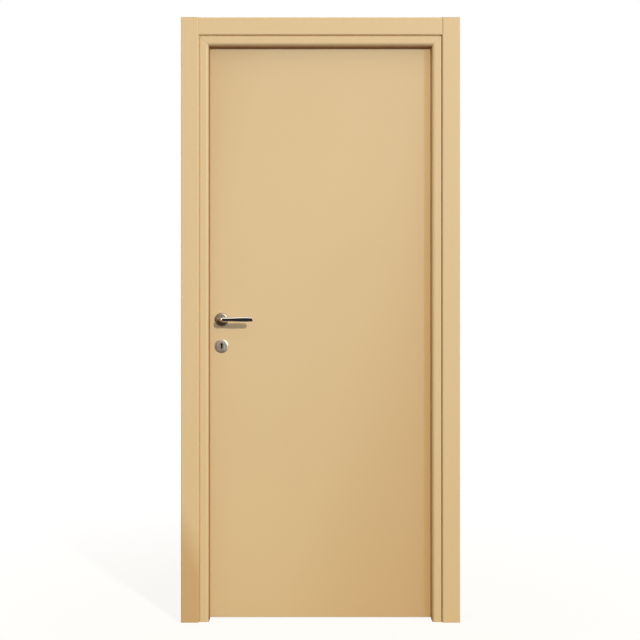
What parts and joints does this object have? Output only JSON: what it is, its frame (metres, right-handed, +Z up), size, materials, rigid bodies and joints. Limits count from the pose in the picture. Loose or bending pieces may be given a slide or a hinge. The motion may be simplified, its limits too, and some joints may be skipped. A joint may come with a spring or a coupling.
{
  "type": "interior door",
  "caption": "Flush interior door hung in a round-nosed frame with flat casings, a lever on a round rosette and a key escutcheon.",
  "frame": {"origin": "on the outer flat face of the hinge jamb, at floor level, in the middle of the frame's depth", "axes": "+Z up, +X from the lock side to the hinge side, +Y through the doorway from the push side to the pull side"},
  "size_m": [1.01, 0.1619, 2.189],
  "materials": {
    "lacquer": "satin lacquer",
    "timber": "sawn",
    "core_board": "raw",
    "seal": "matte",
    "hinge_metal": "satin",
    "lever_chrome": "polished",
    "satin_metal": "satin",
    "lock_steel": "satin"
  },
  "bodies": {
    "frame": {"latch_jamb": "lacquer", "hinge_jamb": "lacquer", "head_jamb": "lacquer", "latch_stop": "lacquer", "hinge_stop": "lacquer", "head_stop": "lacquer", "latch_seal": "seal", "hinge_seal": "seal", "head_seal": "seal", "front_casing_latch": "lacquer", "front_casing_hinge": "lacquer", "front_casing_head": "lacquer", "back_casing_latch": "lacquer", "back_casing_hinge": "lacquer", "back_casing_head": "lacquer", "strike_plate": "lock_steel", "hinge_frame_1": "hinge_metal", "hinge_frame_2": "hinge_metal", "hinge_frame_3": "hinge_metal"},
    "leaf": {"front_skin": "lacquer", "back_skin": "lacquer", "lip_latch": "lacquer", "lip_hinge": "lacquer", "lip_top": "lacquer", "lock_stile": "timber", "hinge_stile": "timber", "top_rail": "timber", "bottom_rail": "timber", "core": "core_board", "lock_faceplate": "lock_steel", "lock_case": "lock_steel", "latch_bolt": "lock_steel", "dead_bolt": "lock_steel", "hinge_leaf_1": "hinge_metal", "hinge_leaf_2": "hinge_metal", "hinge_leaf_3": "hinge_metal", "rosette_front": "lever_chrome", "rosette_back": "lever_chrome", "key_escutcheon_front": "satin_metal", "key_escutcheon_back": "satin_metal"},
    "lever_set": {"lever_front": "lever_chrome", "lever_back": "lever_chrome", "spindle": "lock_steel"}
  },
  "joints": [
    {"name": "leaf_swing", "type": "hinge", "parent": "frame", "child": "leaf", "pos_m": [-0.014, 0.0635, 1.06], "axis": [0, 0, -1], "range_deg": [0, 170]},
    {"name": "lever_turn", "type": "hinge", "parent": "leaf", "child": "lever_set", "pos_m": [-0.813, 0.0295, 1.096], "axis": [0, 1, 0], "range_deg": [0, 40], "stiffness_Nm_per_rad": 1.2, "springref_deg": -34.38}
  ]
}
